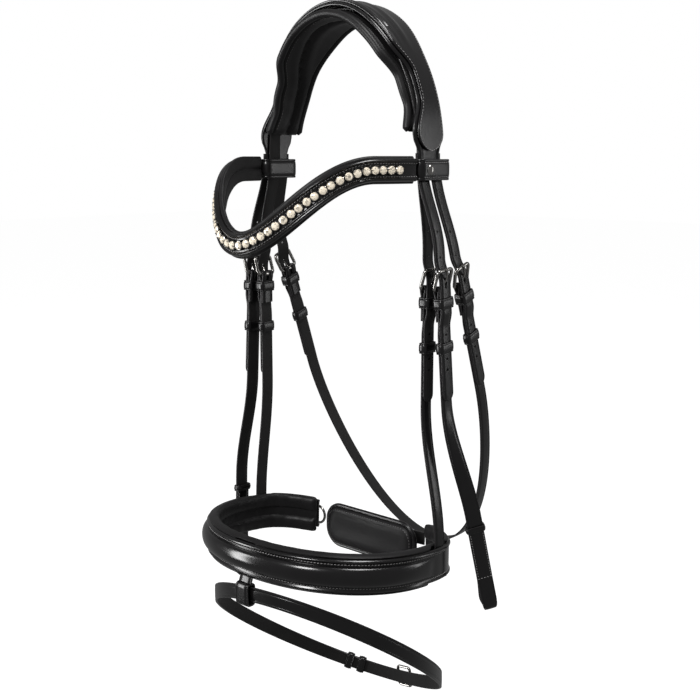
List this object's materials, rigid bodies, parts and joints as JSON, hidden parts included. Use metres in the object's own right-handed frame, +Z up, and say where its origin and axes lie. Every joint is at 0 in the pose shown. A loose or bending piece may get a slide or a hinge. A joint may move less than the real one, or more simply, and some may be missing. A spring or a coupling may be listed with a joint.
{
  "type": "snaffle bridle",
  "caption": "Black leather snaffle bridle with padded anatomical crown, wave browband set with crystals, padded noseband, flash strap, throatlash and two cheekpieces.",
  "frame": {"origin": "underside centre of the crown padding, where it rests on the poll", "axes": "+Z up, -Y the way the horse faces, +X the horse's left, which is the near side"},
  "size_m": [0.2573, 0.2893, 0.69],
  "materials": {
    "strap_leather": "smooth black bridle leather, semi-gloss, fine grain",
    "glossy_leather": "glossy smooth black leather",
    "flesh_leather": "dark grey flesh side, matte",
    "soft_leather": "soft padded black leather, satin",
    "stainless_steel": "polished",
    "champagne_crystal": "cut and foiled"
  },
  "bodies": {
    "headpiece": {"headpiece_leather": "strap_leather", "headpiece_overlay": "strap_leather", "headpiece_padding": "soft_leather", "headpiece_piping": "soft_leather", "noseband_headstrap": "flesh_leather"},
    "browband": {"browband_leather": "strap_leather", "browband_padding": "soft_leather", "browband_loops": "strap_leather", "browband_crystals": "champagne_crystal", "browband_crystal_cups": "stainless_steel", "browband_studs": "stainless_steel"},
    "near_cheekpiece": {"near_cheek_strap": "strap_leather", "near_cheek_billet_tail": "strap_leather", "near_cheek_buckle": "stainless_steel", "near_cheek_keeper": "strap_leather", "near_hook_stud": "stainless_steel"},
    "near_cheek_tongue": {"near_cheek_tongue": "stainless_steel"},
    "near_cheek_runner": {"near_cheek_runner": "strap_leather"},
    "far_cheekpiece": {"far_cheek_strap": "strap_leather", "far_cheek_billet_tail": "strap_leather", "far_cheek_buckle": "stainless_steel", "far_cheek_keeper": "strap_leather", "far_hook_stud": "stainless_steel"},
    "far_cheek_tongue": {"far_cheek_tongue": "stainless_steel"},
    "far_cheek_runner": {"far_cheek_runner": "strap_leather"},
    "noseband": {"hanger_straps": "strap_leather", "hanger_billet_tails": "strap_leather", "hanger_buckles": "stainless_steel", "hanger_keepers": "strap_leather", "noseband_leather": "strap_leather", "noseband_roll": "glossy_leather", "noseband_padding": "soft_leather", "noseband_dees": "stainless_steel", "flash_loop": "strap_leather", "crank_strap": "strap_leather"},
    "jaw_pad": {"jaw_pad": "soft_leather", "jaw_pad_piping": "soft_leather"},
    "flash": {"flash_strap": "strap_leather", "flash_buckle": "stainless_steel", "flash_keeper": "strap_leather"},
    "flash_tongue": {"flash_tongue": "stainless_steel"},
    "flash_runner": {"flash_runner": "strap_leather"},
    "throatlash": {"throatlash_strap": "strap_leather", "throatlash_billet_tails": "strap_leather", "throatlash_buckles": "stainless_steel", "throatlash_keepers": "strap_leather"},
    "near_hanger_tongue": {"near_hanger_tongue": "stainless_steel"},
    "near_hanger_runner": {"near_hanger_runner": "strap_leather"},
    "near_throatlash_tongue": {"near_throatlash_tongue": "stainless_steel"},
    "near_throatlash_runner": {"near_throatlash_runner": "strap_leather"},
    "far_hanger_tongue": {"far_hanger_tongue": "stainless_steel"},
    "far_hanger_runner": {"far_hanger_runner": "strap_leather"},
    "far_throatlash_tongue": {"far_throatlash_tongue": "stainless_steel"},
    "far_throatlash_runner": {"far_throatlash_runner": "strap_leather"}
  },
  "joints": [
    {"name": "browband_slide", "type": "slide", "parent": "headpiece", "child": "browband", "axis": [0, 0, 1], "range_m": [-0.004, 0.004]},
    {"name": "near_cheekpiece_swing", "type": "hinge", "parent": "headpiece", "child": "near_cheekpiece", "pos_m": [0.109, -0.0045, -0.2], "axis": [0, 0.9945, 0.1045], "range_deg": [-25, 0]},
    {"name": "near_cheek_tongue_hinge", "type": "hinge", "parent": "near_cheekpiece", "child": "near_cheek_tongue", "pos_m": [0.109, -0.00115, -0.23183], "axis": [0, 0.9945, 0.1045], "range_deg": [0, 12]},
    {"name": "near_cheek_runner_slide", "type": "slide", "parent": "near_cheekpiece", "child": "near_cheek_runner", "axis": [0, 0.1045, -0.9945], "range_m": [-0.013, 0.03]},
    {"name": "far_cheekpiece_swing", "type": "hinge", "parent": "headpiece", "child": "far_cheekpiece", "pos_m": [-0.109, -0.0135, -0.2], "axis": [0, 0.9986, -0.0523], "range_deg": [0, 25]},
    {"name": "far_cheek_tongue_hinge", "type": "hinge", "parent": "far_cheekpiece", "child": "far_cheek_tongue", "pos_m": [-0.109, -0.01517, -0.23196], "axis": [0, 0.9986, -0.0523], "range_deg": [-12, 0]},
    {"name": "far_cheek_runner_slide", "type": "slide", "parent": "far_cheekpiece", "child": "far_cheek_runner", "axis": [0, -0.0523, -0.9986], "range_m": [-0.013, 0.03]},
    {"name": "noseband_swing", "type": "hinge", "parent": "headpiece", "child": "noseband", "pos_m": [0, -0.008, -0.2], "axis": [0.9989, 0.0468, 0], "range_deg": [-12, 0]},
    {"name": "near_hanger_tongue_hinge", "type": "hinge", "parent": "noseband", "child": "near_hanger_tongue", "pos_m": [0.096, -0.0035, -0.232], "axis": [0, 1, 0], "range_deg": [0, 12]},
    {"name": "near_hanger_runner_slide", "type": "slide", "parent": "noseband", "child": "near_hanger_runner", "axis": [0, 0, -1], "range_m": [-0.013, 0.03]},
    {"name": "far_hanger_tongue_hinge", "type": "hinge", "parent": "noseband", "child": "far_hanger_tongue", "pos_m": [-0.096, -0.0125, -0.232], "axis": [0, 1, 0], "range_deg": [-12, 0]},
    {"name": "far_hanger_runner_slide", "type": "slide", "parent": "noseband", "child": "far_hanger_runner", "axis": [0, 0, -1], "range_m": [-0.013, 0.03]},
    {"name": "jaw_pad_slide", "type": "slide", "parent": "noseband", "child": "jaw_pad", "axis": [1, 0, 0], "range_m": [-0.003, 0.003]},
    {"name": "flash_swing", "type": "hinge", "parent": "noseband", "child": "flash", "pos_m": [0, -0.136, -0.498], "axis": [1, 0, 0], "range_deg": [-10, 10]},
    {"name": "throatlash_swing", "type": "hinge", "parent": "headpiece", "child": "throatlash", "pos_m": [0, 0.02, -0.2], "axis": [1, 0, 0], "range_deg": [-10, 10]},
    {"name": "near_throatlash_tongue_hinge", "type": "hinge", "parent": "throatlash", "child": "near_throatlash_tongue", "pos_m": [0.107, 0.03042, -0.23026], "axis": [0, 0.9455, 0.3256], "range_deg": [0, 12]},
    {"name": "near_throatlash_runner_slide", "type": "slide", "parent": "throatlash", "child": "near_throatlash_runner", "axis": [0, 0.3256, -0.9455], "range_m": [-0.013, 0.03]},
    {"name": "far_throatlash_tongue_hinge", "type": "hinge", "parent": "throatlash", "child": "far_throatlash_tongue", "pos_m": [-0.107, 0.03042, -0.23026], "axis": [0, 0.9455, 0.3256], "range_deg": [-12, 0]},
    {"name": "far_throatlash_runner_slide", "type": "slide", "parent": "throatlash", "child": "far_throatlash_runner", "axis": [0, 0.3256, -0.9455], "range_m": [-0.013, 0.03]},
    {"name": "flash_tongue_hinge", "type": "hinge", "parent": "flash", "child": "flash_tongue", "pos_m": [0.01145, 0.08666, -0.66138], "axis": [-0.1452, 0.0052, 0.9894], "range_deg": [-12, 0]},
    {"name": "flash_runner_slide", "type": "slide", "parent": "flash", "child": "flash_runner", "axis": [-0.8049, -0.5171, 0.2912], "range_m": [-0.003, 0.003]}
  ]
}
